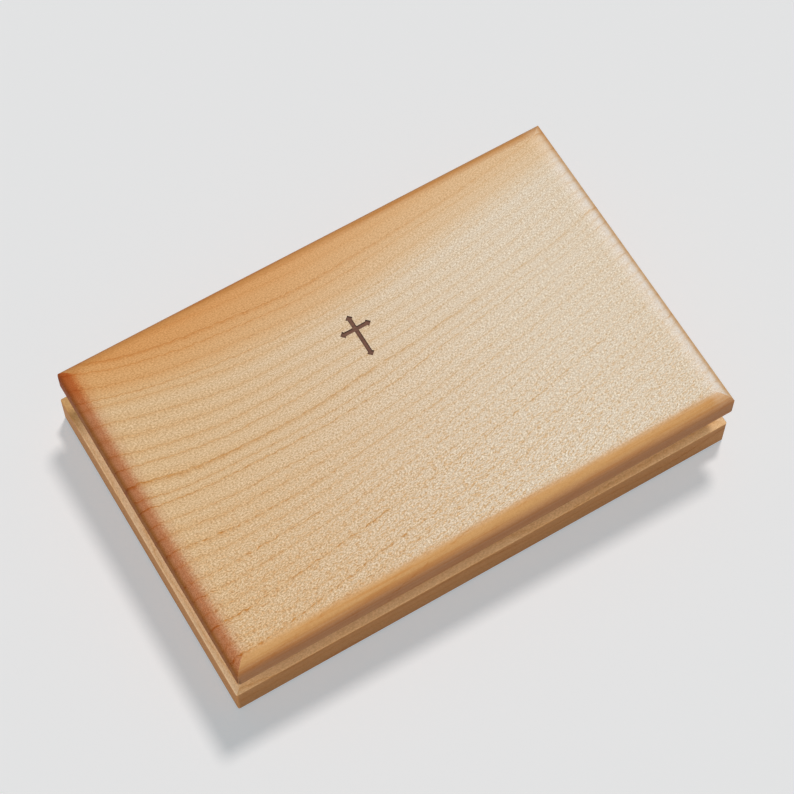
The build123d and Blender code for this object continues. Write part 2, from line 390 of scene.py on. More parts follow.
def lacquered_maple(tree, place, rings, base, ring_colour, pitch, contrast, clumping=0.2, fleck=0.35):
    """Satin lacquer over maple: rings that deepen to a line, clumped dashes of ray fleck, and fine fleck."""
    dash_size, fleck_size = (2.1, 0.6, 0.6), (0.75, 0.3, 0.3)
    x, _, z = add(tree, "SeparateXYZ", {0: place}).outputs
    grain = add(tree, "CombineXYZ", {"X": x, "Y": rings, "Z": z})
    broken, band = ring_lines(tree, grain, rings, pitch, clumping)
    lines = add(tree, "Math", {0: broken, 1: contrast}, operation="MULTIPLY", use_clamp=True)
    lined = add(tree, "Mix", {"Factor": lines, "A": base, "B": ring_colour}, **TINT)
    tone = add(tree, "Mix", {"Factor": band, "A": PALE_BAND, "B": WARM_BAND}, **BLEND)
    banded = add(tree, "Mix", {"Factor": contrast, "A": lined, "B": tone}, **TINT)

    peaks = add(tree, "MapRange", {
        "Value": mottle(tree, grain, dash_size), "From Min": 0.06, "From Max": 0.36
    })
    clumps = add(tree, "Math", {0: peaks, 1: clumping}, operation="MULTIPLY")
    dashes = add(tree, "Math", {0: clumps, 1: fleck}, operation="MULTIPLY")
    dashed = add(tree, "Mix", {"Factor": dashes, "A": banded, "B": DASH}, **TINT)
    flecking = add(tree, "MapRange", {
        "Value": mottle(tree, grain, fleck_size), "From Min": -0.5, "From Max": 0.5
    })
    flecks = add(tree, "Mix", {"Factor": flecking, "A": DEEP_FLECK, "B": PALE_FLECK}, **BLEND)
    flecked = add(tree, "Mix", {"Factor": fleck, "A": dashed, "B": flecks}, **TINT)

    gloss = add(tree, "MapRange", {"Value": flecking, "To Min": 0.62, "To Max": 0.5})
    bump = add(tree, "Bump", {"Strength": 0.25, "Distance": 0.03 * MM, "Height": flecking})
    surface = add(tree, "BsdfPrincipled", {
        "Base Color": flecked, "Roughness": gloss, "Normal": bump, "Specular IOR Level": 0.08
    })
    finish_material(tree, surface)


def lid_cut(tree, place):
    """How the lid board is cut at a place: how pale it is, and its shares of long edge and end grain."""
    x, y, _ = add(tree, "SeparateXYZ", {0: place}).outputs
    end_slant, side_slant, _ = object_normal(tree)
    paling = add(tree, "MapRange", {"Value": x, **PALING}, **SMOOTH)

    # At the front the long edge's tone and painted shade start a little before the roundover
    side_lead, side_full = 0.18, 0.6
    before = add(tree, "MapRange", {
        "Value": y, "From Min": LID_FRONT + 8.5, "From Max": LID_FRONT + 6.0
    }, **SMOOTH)
    side_cut = add(tree, "Math", {0: before, 1: side_lead, 2: side_slant}, operation="MULTIPLY_ADD")
    side_share = add(tree, "MapRange", {"Value": side_cut, "From Max": side_full}, **SMOOTH)

    # So does the end grain's tone, with its painted shade and highlight, along a ragged line, but it stays off the
    # long edges
    raggedness, ragged_size, end_full = 0.14, (0.9, 0.5, 0.5), 0.65
    outward = add(tree, "Math", {0: x}, operation="ABSOLUTE")
    at_end = add(tree, "MapRange", {
        "Value": outward, "From Min": LID_RIGHT - 10.0, "From Max": LID_RIGHT - 5.5
    }, **SMOOTH)
    lead = add(tree, "MapRange", {"Value": paling, "To Min": 0.16, "To Max": 0.3})
    ragged = add(tree, "Math", {
        0: mottle(tree, place, ragged_size, detail=2.0), 1: raggedness, 2: lead
    }, operation="MULTIPLY_ADD")
    end_cut = add(tree, "Math", {0: ragged, 1: at_end, 2: end_slant}, operation="MULTIPLY_ADD")
    clear = add(tree, "MapRange", {"Value": side_slant, "To Min": 1.0, "To Max": 0.0})
    end_kept = add(tree, "Math", {0: end_cut, 1: clear}, operation="MULTIPLY")
    end_share = add(tree, "MapRange", {"Value": end_kept, "From Max": end_full})
    return SimpleNamespace(
        x=x, y=y, paling=paling, side_slant=side_slant, side_share=side_share,
        end_slant=end_slant, end_share=end_share
    )


def lid_tone(tree, place, lid, cut):
    """Bare tone of the lid: it pales to the right, partly as painted sheen, and to the front; its edges and ends
    carry painted shade and light.
    """
    front_gain, strand_size = 27.0, (70, 1.1, 1.1)
    forward = add(tree, "MapRange", {
        "Value": cut.y, "From Min": 5.0, "From Max": -70.0, "To Max": front_gain
    })
    onward = add(tree, "Math", {0: cut.x, 1: forward}, operation="ADD")
    # To the right this paling is partly painted sheen
    pale_and_sheen = add(tree, "MapRange", {"Value": onward, **PALING}, **SMOOTH)
    face = add(tree, "Mix", {"Factor": pale_and_sheen, "A": lid.face_warm[:], "B": lid.face_pale_and_sheen[:]}, **BLEND)

    # Painted shade on the long edges over their own tone, deepest where they stand upright
    upright = add(tree, "MapRange", {"Value": cut.side_slant, "From Min": 0.55}, **SMOOTH)
    gold_shaded = add(tree, "Mix", {"Factor": cut.side_share, "A": face, "B": lid.shaded_side_gold[:]}, **BLEND)
    side_shaded = add(tree, "Mix", {"Factor": upright, "A": gold_shaded, "B": lid.shaded_side_grain[:]}, **BLEND)
    # End grain tones, darker as painted shade where the left end stands upright, with painted light and a highlight
    # on the right end
    ends = []
    for start, full, early, late in (
        (0.7, 1.0, lid.end_warm, lid.end_deep_shade), (0.4, 0.8, lid.end_pale_highlight, lid.end_gold_lit)
    ):
        steep = add(tree, "MapRange", {
            "Value": cut.end_slant, "From Min": start, "From Max": full
        }, **SMOOTH)
        ends.append(add(tree, "Mix", {"Factor": steep, "A": early[:], "B": late[:]}, **BLEND))
    end_tone = add(tree, "Mix", {"Factor": cut.paling, "A": ends[0], "B": ends[1]}, **BLEND)
    toned = add(tree, "Mix", {"Factor": cut.end_share, "A": side_shaded, "B": end_tone}, **BLEND)

    strands = add(tree, "MapRange", {
        "Value": mottle(tree, place, strand_size, detail=2.0),
        "From Min": -0.05, "From Max": 0.35, "To Max": 0.5
    })
    side_strands = add(tree, "Math", {0: strands, 1: cut.side_share}, operation="MULTIPLY")
    return add(tree, "Mix", {"Factor": side_strands, "A": toned, "B": DASH}, **TINT)


def heart_depth(tree, rings):
    """Depth of the heartwood: it starts with a faint line at one ring and deepens towards the back."""
    step = add(tree, "MapRange", {"Value": rings, "From Min": 0.8, "From Max": 2.0, "To Max": 0.12})
    depth = add(tree, "MapRange", {"Value": rings, "From Min": -5.0, "From Max": 20.0, "To Max": 0.85})
    return add(tree, "Math", {0: step, 1: depth}, operation="ADD")


def heart_stain(tree, lid, cut, heart):
    """Tint of the heartwood: weaker to the right and on long edges, strongest on the left end."""
    fade = add(tree, "MapRange", {
        "Value": cut.x, "From Min": -105.0, "From Max": 100.0, "To Min": 1.2, "To Max": 0.7
    })
    faded = add(tree, "Math", {0: heart, 1: fade}, operation="MULTIPLY")
    left_end = add(tree, "MapRange", {"Value": cut.paling, "To Min": cut.end_share, "To Max": 0.0})
    soaked = add(tree, "MapRange", {"Value": left_end, "To Min": 1.0, "To Max": 1.8})
    kept = add(tree, "MapRange", {"Value": cut.side_share, "To Min": soaked, "To Max": 0.5})
    strength = add(tree, "Math", {0: faded, 1: kept}, operation="MULTIPLY")
    return add(tree, "Gamma", {"Color": lid.heart[:], "Gamma": strength})


def lid_figure(tree, cut, heart):
    """Figure of the lid: how bold its ring lines are, how ray fleck clumps and how strong it is."""
    # Lines show best at the left and on end grain; the heartwood and the long edges dim them
    boldness = add(tree, "MapRange", {
        "Value": cut.x, "From Min": -100.0, "From Max": 90.0, "To Min": 1.05, "To Max": 0.4
    })
    edge_dimming = add(tree, "MapRange", {"Value": cut.side_share, "To Min": 1.0, "To Max": 0.55})
    heart_dimming = add(tree, "MapRange", {"Value": heart, "To Min": 1.0, "To Max": 0.6})
    shown = add(tree, "Math", {0: boldness, 1: edge_dimming}, operation="MULTIPLY")
    quieted = add(tree, "Math", {0: shown, 1: heart_dimming}, operation="MULTIPLY")
    contrast = add(tree, "Math", {0: cut.end_share, 1: 0.35, 2: quieted}, operation="MULTIPLY_ADD")

    # Ray fleck clumps at the front, less so at the right, and is faint where the edges are routed
    nearness = add(tree, "MapRange", {
        "Value": cut.y, "From Min": LID_FRONT + 95.0, "From Max": LID_FRONT + 10.0
    }, **SMOOTH)
    calm = add(tree, "MapRange", {
        "Value": cut.x, "From Max": 80.0, "To Min": 0.7, "To Max": 0.4
    }, **SMOOTH)
    near_clumps = add(tree, "Math", {0: nearness, 1: calm}, operation="MULTIPLY")
    clumping = add(tree, "Math", {0: cut.paling, 1: 0.3, 2: near_clumps}, operation="MULTIPLY_ADD")
    lively = add(tree, "Math", {0: clumping, 1: 0.3, 2: 0.65}, operation="MULTIPLY_ADD")
    speckle = add(tree, "Math", {0: lively, 1: heart_dimming}, operation="MULTIPLY")
    most_calm = add(tree, "MapRange", {"Value": cut.paling, "To Min": 0.35, "To Max": 0.8})
    end_calm = add(tree, "Math", {0: cut.end_share, 1: most_calm}, operation="MULTIPLY")
    routed = add(tree, "Math", {0: cut.side_share, 1: end_calm}, operation="MAXIMUM")
    fleck = add(tree, "MapRange", {"Value": routed, "To Min": speckle, "To Max": 0.15})
    return contrast, clumping, fleck


def lid_maple(lid):
    """Hard maple: pale to the right, partly painted sheen; a heartwood streak at the back; painted shade on the
    routed edges and left end, painted light on the right end.
    """
    material, tree = new_material("maple_lacquered_lid")
    place = board_place(tree, shift=(0, 0, -LID_TOP))
    rings = wavering(tree, place, swept_rings(tree, place), bend=1.5, ripple=0.4)
    cut = lid_cut(tree, place)
    heart = heart_depth(tree, rings)
    stain = heart_stain(tree, lid, cut, heart)
    tone = lid_tone(tree, place, lid, cut)
    stained = add(tree, "Mix", {"Factor": 1.0, "A": tone, "B": stain}, **TINT)
    figure = lid_figure(tree, cut, heart)
    lacquered_maple(tree, place, rings, stained, lid.ring[:], lid.ring_pitch * PER_MM, *figure)
    return material


def board_maple(name, boards, turn, shift, tilt, painted_light_share):
    """Flat-sawn hard maple of one rail or wall, grain along its length, with painted shade on its upright faces and
    towards the back, and painted light on the rails that stand in more light.
    """
    material, tree = new_material(name)
    place = board_place(tree, turn, shift)
    rings = wavering(tree, place, straight_rings(tree, place, tilt), bend=5.0, ripple=0.3)
    _, _, level = object_normal(tree)
    # Painted light: paler level faces on the rails that stand in more light
    face = Vector(boards.face).lerp(boards.lit_pale_face, painted_light_share)
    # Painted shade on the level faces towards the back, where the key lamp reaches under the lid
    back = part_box("plinth_back")[1].y * PER_MM
    _, y, _ = add(tree, "SeparateXYZ", {0: board_place(tree)}).outputs
    behind = add(tree, "MapRange", {"Value": y, "From Min": back - 22, "From Max": back - 8}, **SMOOTH)
    back_shaded = add(tree, "Mix", {"Factor": behind, "A": face, "B": boards.painted_shade_back[:]}, **BLEND)
    # Painted shade: upright faces take the darker side colour, level faces the face colour
    facing = add(tree, "MapRange", {"Value": level, "From Min": 0.3, "From Max": 0.9}, **SMOOTH)
    tone = add(tree, "Mix", {"Factor": facing, "A": boards.side[:], "B": back_shaded}, **BLEND)
    lacquered_maple(tree, place, rings, tone, boards.ring[:], boards.ring_pitch * PER_MM, contrast=0.8)
    return material


def burnt_maple(name, tone, depth):
    """Laser-burnt maple: a matt brown char with streaks of the grain left in it."""
    material, tree = new_material(name)
    streak_size = (2.5, 0.5, 1.0)
    place = board_place(tree)
    streaks = add(tree, "VectorMath", {0: place, 1: streak_size}, operation="DIVIDE")
    char = add(tree, "TexNoise", {"Vector": streaks, "Scale": 1.0, "Detail": 3.0})
    shade = add(tree, "MapRange", {
        "Value": char, "From Min": 0.3, "From Max": 0.7, "To Min": 1 - depth, "To Max": 1 + depth
    })
    toned = add(tree, "HueSaturation", {"Value": shade, "Color": tone[:]})
    bump = add(tree, "Bump", {"Strength": 0.5, "Distance": 0.1 * MM, "Height": char})
    surface = add(tree, "BsdfPrincipled", {"Base Color": toned, "Roughness": 0.85, "Normal": bump})
    finish_material(tree, surface)
    return material


# Lid board

def cross_outline(lid):
    """Corners of a Latin cross with pointed, barbed ends, round its crossing."""
    half_bar, half_barb, point, slope = 0.88 * MM, 1.57 * MM, 1.55 * MM, 0.45 * MM
    side = lid.cross_width / 2
    above = lid.cross_height / 3
    below = lid.cross_height - above
    corners = []
    for turn, reach in enumerate((side, above, side, below)):
        barb = reach - point
        arm = [
            (half_bar, -half_bar),
            (barb - slope, -half_bar),
            (barb, -half_barb),
            (reach, 0),
            (barb, half_barb),
            (barb - slope, half_bar),
        ]
        spin = Matrix.Rotation(turn * pi / 2, 2)
        corners += [spin @ Vector(corner) for corner in arm]
    return corners


def prism_mesh(name, corners, bottom, top):
    """Closed straight prism over an outline."""
    work = bmesh.new()
    face = work.faces.new([work.verts.new((x, y, bottom)) for x, y in corners])
    lifted = bmesh.ops.extrude_face_region(work, geom=[face])["geom"]
    upper = [item for item in lifted if isinstance(item, bmesh.types.BMVert)]
    bmesh.ops.translate(work, vec=(0, 0, top - bottom), verts=upper)
    bmesh.ops.recalc_face_normals(work, faces=work.faces)
    return new_mesh(name, work)


def whole_faces(node):
    """Copy of a node's mesh with its flat faces whole."""
    work = joined_copy(node)
    bmesh.ops.dissolve_limit(work, angle_limit=radians(0.05), verts=work.verts, edges=work.edges)
    return new_mesh(node + "_copy", work)


def cut_out(board, cutter):
    """Cut a cutter's shape out of a board, and remove the cutter."""
    cut = board.modifiers.new("cross", "BOOLEAN")
    cut.operation = "DIFFERENCE"
    cut.solver = "EXACT"
    cut.object = cutter
    board.data = evaluated_mesh(board)
    bpy.data.objects.remove(cutter)


def sharpen_ridges(mesh):
    """Keep the mitred ridges crisp, where a roundover along the lid meets one across it."""
    level, upright = 0.999, 0.001
    work = bmesh.new()
    work.from_mesh(mesh)
    for edge in work.edges:
        normals = [face.normal for face in edge.link_faces if upright < abs(face.normal.z) < level]
        if len({abs(normal.x) > abs(normal.y) for normal in normals}) == 2:
            edge.smooth = False
    work.to_mesh(mesh)
    work.free()


def flatten_shading(board):
    """Shade the roundovers smooth and the flat faces flat, with crisp ridges."""
    smooth_faces(board.data, radians(28))
    sharpen_ridges(board.data)
    weigh = board.modifiers.new("flat faces stay flat", "WEIGHTED_NORMAL")
    weigh.keep_sharp = True
    weigh.weight = 100
    board.data = evaluated_mesh(board)


class VALETBOX_OT_lid_board(bpy.types.Operator):
    """Make the lid board with its engraved cross"""

    bl_idname = "valet_box.lid_board"
    bl_label = "Lid Board"

    def execute(self, context):
        lid = context.scene.valet_lid
        low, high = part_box("lid_panel")
        crossing = Vector(((low.x + high.x) / 2 + lid.cross_offset, high.y - lid.cross_setback))
        corners = [crossing + corner for corner in cross_outline(lid)]
        floor = high.z - lid.cross_depth
        prism = prism_mesh("cross_cutter", corners, floor, high.z + lid.cross_depth)
        cutter = new_piece("cross_cutter", prism)
        board = new_piece("lid_board", whole_faces("lid_panel"))
        cut_out(board, cutter)
        for finish in (
            lid_maple(lid),
            burnt_maple("burnt_maple_floor", lid.burnt_floor, depth=0.22),
            # The walls' char is darkened further as painted shade
            burnt_maple("burnt_maple_wall_shade", lid.charred_wall_shade, depth=0.3),
        ):
            board.data.materials.append(finish)
        reach = max((corner - crossing).length for corner in corners)
        for face in board.data.polygons:
            near = (face.center.xy - crossing).length < reach
            inside = near and floor - HAIR < face.center.z < high.z - HAIR
            face.material_index = (1 if face.normal.z > 0.5 else 2) if inside else 0
        flatten_shading(board)
        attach(board, "lid")
        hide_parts("lid_panel")
        return {"FINISHED"}


# Plinth, walls and bottom panel

class VALETBOX_OT_case_boards(bpy.types.Operator):
    """Finish the rails of the plinth and the walls, each with its own grain"""

    bl_idname = "valet_box.case_boards"
    bl_label = "Plinth and Walls"

    def execute(self, context):
        boards = context.scene.valet_boards
        for row, (part, tilt) in enumerate(RING_TILT.items()):
            for place, (side, painted_light_share) in enumerate(PAINTED_LIGHT_BY_RAIL.items()):
                node = f"{part}_{side}"
                turn = (place % 2) * pi / 2
                shift = place * NEXT_BOARD + row * NEXT_FRAME
                dress(node, board_maple(f"maple_{node}", boards, turn, shift, tilt, painted_light_share))
        return {"FINISHED"}


def plywood(boards):
    """Maple-faced plywood: a plain veneer with grain along the panel, and darker plies at its edge."""
    material, tree = new_material("plywood_maple_faced")
    place = board_place(tree)
    low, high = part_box("bottom_panel")
    z = add(tree, "SeparateXYZ", {0: place}).outputs["Z"]
    layer = add(tree, "MapRange", {
        "Value": z, "From Min": low.z * PER_MM, "From Max": high.z * PER_MM, "To Max": float(boards.plies)
    })
    index = add(tree, "Math", {0: layer}, operation="FLOOR")
    odd = add(tree, "Math", {0: index, 1: 2.0}, operation="MODULO", use_clamp=True)
    plies = add(tree, "Mix", {"Factor": odd, "A": boards.veneer[:], "B": boards.core[:]}, **BLEND)
    rings = wavering(tree, place, straight_rings(tree, place, tilt=0.0), bend=9.0, ripple=0.3)
    lacquered_maple(tree, place, rings, plies, boards.ring[:], boards.veneer_pitch * PER_MM, contrast=0.7)
    return material


class VALETBOX_OT_bottom_panel(bpy.types.Operator):
    """Finish the plywood panel under the felt"""

    bl_idname = "valet_box.bottom_panel"
    bl_label = "Bottom Panel"

    def execute(self, context):
        dress("bottom_panel", plywood(context.scene.valet_boards))
        return {"FINISHED"}


# Felt

def felt_hairs(tree, place, spacing):
    """Curling hairs, thicker than wool so that they show: lines where a swirled noise passes through zero."""
    thickness = 0.09
    swirl = add(tree, "TexNoise", {
        "Vector": place, "Scale": 1 / spacing, "Detail": 1.0, "Distortion": 2.0
    }, normalize=False)
    apart = add(tree, "Math", {0: swirl}, operation="ABSOLUTE")
    return add(tree, "MapRange", {"Value": apart, "From Min": thickness, "From Max": 0.0}, **SMOOTH)


def wool_felt(felt):
    """Pressed wool felt: a matted, mottled body under curling hairs, dull, and soft at grazing angles."""
    material, tree = new_material("wool_felt_pressed")
    shorter, cloud_size, mat_size = 2.3, (9, 9, 9), (0.6, 0.6, 0.6)
    place = board_place(tree)
    spacing = felt.hair_spacing * PER_MM
    long_hairs = felt_hairs(tree, place, spacing)
    short_hairs = felt_hairs(tree, place, spacing / shorter)
    hairs = add(tree, "Math", {0: short_hairs, 1: 0.6, 2: long_hairs}, operation="MULTIPLY_ADD")
    clouds = add(tree, "MapRange", {
        "Value": mottle(tree, place, cloud_size, detail=3.0), "From Min": -0.5, "From Max": 0.5,
        "To Min": 0.3, "To Max": 0.8
    })
    hairiness = add(tree, "Math", {0: hairs, 1: clouds}, operation="MULTIPLY", use_clamp=True)
    tone = add(tree, "Mix", {"Factor": hairiness, "A": felt.wool[:], "B": felt.fibre[:]}, **BLEND)
    matted = mottle(tree, place, mat_size, detail=3.0)
    relief = add(tree, "Math", {0: hairs, 1: 0.5, 2: matted}, operation="MULTIPLY_ADD")
    bump = add(tree, "Bump", {"Strength": 0.8, "Distance": 0.25 * MM, "Height": relief})
    surface = add(tree, "BsdfPrincipled", {
        "Base Color": tone, "Roughness": 0.95, "Normal": bump, "Sheen Weight": 0.3, "Sheen Roughness": 0.6,
        "Specular IOR Level": 0.1
    })
    finish_material(tree, surface)
    return material


def felt_mesh(name, low, high, unevenness, edge_drop):
    """Sheet of felt between two corners: its top a little uneven, its upper edge rounded."""
    cell = 3 * MM
    hollows_per_metre = 60
    long, wide = high.x - low.x, high.y - low.y
    work = bmesh.new()
    bmesh.ops.create_grid(
        work, x_segments=max(2, round(long / cell)), y_segments=max(2, round(wide / cell)), size=0.5
    )
    for vert in work.verts:
        x = low.x + (vert.co.x + 0.5) * long
        y = low.y + (vert.co.y + 0.5) * wide
        inset = min(x - low.x, high.x - x, y - low.y, high.y - y)
        dip = unevenness * (0.5 + 0.5 * noise.noise(Vector((x, y, low.z)) * hollows_per_metre))
        vert.co = (x, y, high.z - (edge_drop if inset < HAIR else dip))
    lifted = bmesh.ops.extrude_face_region(work, geom=list(work.faces))["geom"]
    for vert in lifted:
        if isinstance(vert, bmesh.types.BMVert):
            vert.co.z = low.z
    bmesh.ops.recalc_face_normals(work, faces=work.faces)
    mesh = new_mesh(name, work)
    smooth_faces(mesh, radians(40))
    return mesh


class VALETBOX_OT_felts(bpy.types.Operator):
    """Lay the felt inside the box and under it"""

    bl_idname = "valet_box.felts"
    bl_label = "Felts"

    def execute(self, context):
        felt = context.scene.valet_felt
        wool = wool_felt(felt)
        for node, piece, slot in (
            ("felt_liner", "liner_felt_sheet", "liner_felt"),
            ("base_felt", "underside_felt_sheet", "underside_felt"),
        ):
            low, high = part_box(node)
            sheet = new_piece(piece, felt_mesh(piece, low, high, felt.unevenness, felt.edge_drop), [wool])
            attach(sheet, "box")
            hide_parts(node)
        return {"FINISHED"}


# Hinges and screws

def brass(name, brasses, tarnish):
    """Polished brass gone soft with handling: a warm, blurred mirror with toned patches.

    It is brushed along the hinge, with marks drawn coarser than they are so that they show.
    """
    material, tree = new_material(name)
    mark_size, patch_size = (8, 0.25, 0.25), 6
    place = board_place(tree)
    lines = add(tree, "VectorMath", {0: place, 1: mark_size}, operation="DIVIDE")
    brushed = add(tree, "TexNoise", {"Vector": lines, "Scale": 1.0, "Detail": 2.0})
    patches = add(tree, "TexNoise", {"Vector": place, "Scale": 1 / patch_size, "Detail": 3.0})
    toned = add(tree, "MapRange", {
        "Value": patches, "From Min": 0.45, "From Max": 0.75, "To Min": tarnish, "To Max": 0.4 + 0.6 * tarnish
    })
    tone = add(tree, "Mix", {"Factor": toned, "A": brasses.bright[:], "B": brasses.toned[:]}, **BLEND)
    gloss = add(tree, "MapRange", {"Value": brushed, "To Min": 0.3, "To Max": 0.55})
    bump = add(tree, "Bump", {"Strength": 0.2, "Distance": 0.02 * MM, "Height": brushed})
    surface = add(tree, "BsdfPrincipled", {
        "Base Color": tone, "Metallic": 1.0, "Roughness": gloss, "Normal": bump
    })
    finish_material(tree, surface)
    return material


class VALETBOX_OT_hinges(bpy.types.Operator):
    """Finish the leaves and pins of the hinges in brass"""

    bl_idname = "valet_box.hinges"
    bl_label = "Hinges"

    def execute(self, context):
        brasses = context.scene.valet_brass
        finish = brass("brass_polished_leaf", brasses, brasses.leaf_tarnish)
        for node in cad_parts:
            if node.startswith("hinge_") and not node.endswith("_screws"):
                dress(node, finish)
        return {"FINISHED"}


def loose_parts(node):
    """Boxes of the separate parts of a node's mesh, from left to right."""
    work = joined_copy(node)
    left = set(work.verts)
    boxes = []
    while left:
        edge_of_part = [left.pop()]
        part = []
        while edge_of_part:
            vert = edge_of_part.pop()
            part.append(vert.co.copy())
            near = {edge.other_vert(vert) for edge in vert.link_edges} & left
            left -= near
            edge_of_part += near
        boxes.append((Vector(map(min, *part)), Vector(map(max, *part))))
    work.free()
    return sorted(boxes, key=lambda box: box[0].x)


def screw_body(tree, given):
    """Bar of unit radius, drawn in to the outline of a countersunk screw and cut by its thread."""
    tip_radius, thread_depth = 0.05 * MM, 0.6
    bar = add(tree, "GeometryNodeMeshCylinder", {
        "Vertices": 24, "Side Segments": 64, "Radius": 1.0, "Depth": given["Length"]
    })
    x, y, z = add(tree, "SeparateXYZ", {0: add(tree, "GeometryNodeInputPosition")}).outputs
    above_tip = add(tree, "Math", {0: given["Length"], 1: 0.5, 2: z}, operation="MULTIPLY_ADD")
    depth = add(tree, "Math", {0: given["Length"], 1: above_tip}, operation="SUBTRACT")
    flare = add(tree, "Math", {0: given["Head"], 1: depth}, operation="SUBTRACT")
    shank = add(tree, "Math", {0: flare, 1: given["Shank"]}, operation="MAXIMUM")
    taper = add(tree, "MapRange", {
        "Value": above_tip, "From Max": given["Point"], "To Min": tip_radius, "To Max": given["Shank"]
    })
    pointed = add(tree, "Math", {0: above_tip, 1: given["Point"]}, operation="LESS_THAN")
    outline = add(tree, "Mix", {"Factor": pointed, "A": shank, "B": taper})

    way = add(tree, "Math", {0: y, 1: x}, operation="ARCTAN2")
    turn = add(tree, "Math", {0: way, 1: 2 * pi}, operation="DIVIDE")
    turns = add(tree, "Math", {0: depth, 1: given["Pitch"]}, operation="DIVIDE")
    wound = add(tree, "Math", {0: turns, 1: turn}, operation="ADD")
    crest = add(tree, "Math", {0: wound, 1: 0.5}, operation="PINGPONG")
    threaded = add(tree, "MapRange", {
        "Value": depth, "From Min": given["Head"], "From Max": given["Shank"],
        "To Min": thread_depth, "To Max": 0.0
    })
    groove = add(tree, "Math", {0: crest, 1: threaded}, operation="MULTIPLY")
    left = add(tree, "Math", {0: 1.0, 1: groove}, operation="SUBTRACT")
    radius = add(tree, "Math", {0: outline, 1: left}, operation="MULTIPLY")
    place = add(tree, "CombineXYZ", {
        "X": add(tree, "Math", {0: x, 1: radius}, operation="MULTIPLY"),
        "Y": add(tree, "Math", {0: y, 1: radius}, operation="MULTIPLY"),
        "Z": add(tree, "Math", {0: depth, 1: -1.0}, operation="MULTIPLY"),
    })
    return add(tree, "GeometryNodeSetPosition", {"Geometry": bar, "Position": place})


def screw_tree():
    """Node tree that sets a screw into each point of a mesh, its slot at a random turn."""
    tree = bpy.data.node_groups.new("hinge_screws", "GeometryNodeTree")
    for name, kind in (
        ("Places", "Geometry"), ("Head", "Float"), ("Shank", "Float"), ("Point", "Float"),
        ("Length", "Float"), ("Pitch", "Float"), ("Slot Width", "Float"), ("Slot Depth", "Float"),
        ("Facing", "Float"), ("Seed", "Int"), ("Finish", "Material"),
    ):
        tree.interface.new_socket(name, in_out="INPUT", socket_type="NodeSocket" + kind)
    tree.interface.new_socket("Screws", in_out="OUTPUT", socket_type="NodeSocketGeometry")
    given = add(tree, "NodeGroupInput").outputs

    # The slot's cutter lies level with the head, wider than it and twice as high as the slot is deep
    across = add(tree, "Math", {0: given["Head"], 1: 4.0}, operation="MULTIPLY")
    height = add(tree, "Math", {0: given["Slot Depth"], 1: 2.0}, operation="MULTIPLY")
    size = add(tree, "CombineXYZ", {"X": across, "Y": given["Slot Width"], "Z": height})
    screw = add(tree, "GeometryNodeMeshBoolean", {
        "Mesh 1": screw_body(tree, given), "Mesh 2": add(tree, "GeometryNodeMeshCube", {"Size": size})
    }, operation="DIFFERENCE", solver="EXACT")

    slot_turn = add(tree, "FunctionNodeRandomValue", {"Max": pi, "Seed": given["Seed"]}, data_type="FLOAT")
    stand = add(tree, "CombineXYZ", {"X": given["Facing"], "Z": slot_turn})
    set_in = add(tree, "GeometryNodeInstanceOnPoints", {
        "Points": given["Places"], "Instance": screw, "Rotation": stand
    })
    solid = add(tree, "GeometryNodeRealizeInstances", {"Geometry": set_in})
    finished = add(tree, "GeometryNodeSetMaterial", {"Geometry": solid, "Material": given["Finish"]})
    add(tree, "NodeGroupOutput", {"Screws": finished})
    return tree


class VALETBOX_OT_screws(bpy.types.Operator):
    """Set the screws into the leaves of the hinges, those of the lid upside down"""

    bl_idname = "valet_box.screws"
    bl_label = "Screws"

    def execute(self, context):
        brasses = context.scene.valet_brass
        finish = brass("brass_polished_screw", brasses, brasses.screw_tarnish)
        tree = screw_tree()
        for body, facing in (("box", 0.0), ("lid", pi)):
            node = f"hinge_{body}_screws"
            boxes = loose_parts(node)
            low, high = boxes[0]
            points = bpy.data.meshes.new(f"{body}_screws")
            points.from_pydata([
                ((near.x + far.x) / 2, (near.y + far.y) / 2, near.z if facing else far.z)
                for near, far in boxes
            ], [], [])
            screws = new_piece(f"{body}_screws", points)
            row = screws.modifiers.new("screws", "NODES")
            row.node_group = tree
            values = {
                "Head": (high.x - low.x) / 2, "Shank": brasses.screw_shank / 2, "Point": brasses.screw_point,
                "Length": high.z - low.z, "Pitch": brasses.thread_pitch, "Slot Width": brasses.slot_width,
                "Slot Depth": brasses.slot_depth, "Facing": facing, "Seed": brasses.slot_seed,
                "Finish": finish,
            }
            for item in tree.interface.items_tree:
                if item.in_out == "INPUT" and item.name in values:
                    row[item.identifier] = values[item.name]
            screws.data = evaluated_mesh(screws)
            smooth_faces(screws.data, radians(35))
            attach(screws, body)
            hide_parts(node)
        return {"FINISHED"}


# Stage

def backdrop_share(tree):
    """1 for the camera and in reflections, which see the backdrop; 0 for the light that falls on things."""
    path = add(tree, "LightPath").outputs
    seen = add(tree, "Math", {0: path["Is Camera Ray"], 1: path["Is Glossy Ray"]}, operation="ADD")
    return add(tree, "Math", {
        0: seen, 1: path["Is Transmission Ray"]
    }, operation="ADD", use_clamp=True)


def stage_floor(stage):
    """Matt paper: it takes the shadow, and is seen, also in reflections, lifted to the backdrop's grey."""
    material, tree = new_material("floor_matt_paper")
    matt = add(tree, "BsdfDiffuse", {"Color": stage.floor[:]})
    glow = add(tree, "Emission", {"Color": stage.glow[:], "Strength": backdrop_share(tree)})
    finish_material(tree, add(tree, "AddShader", {0: matt, 1: glow}))
    return material


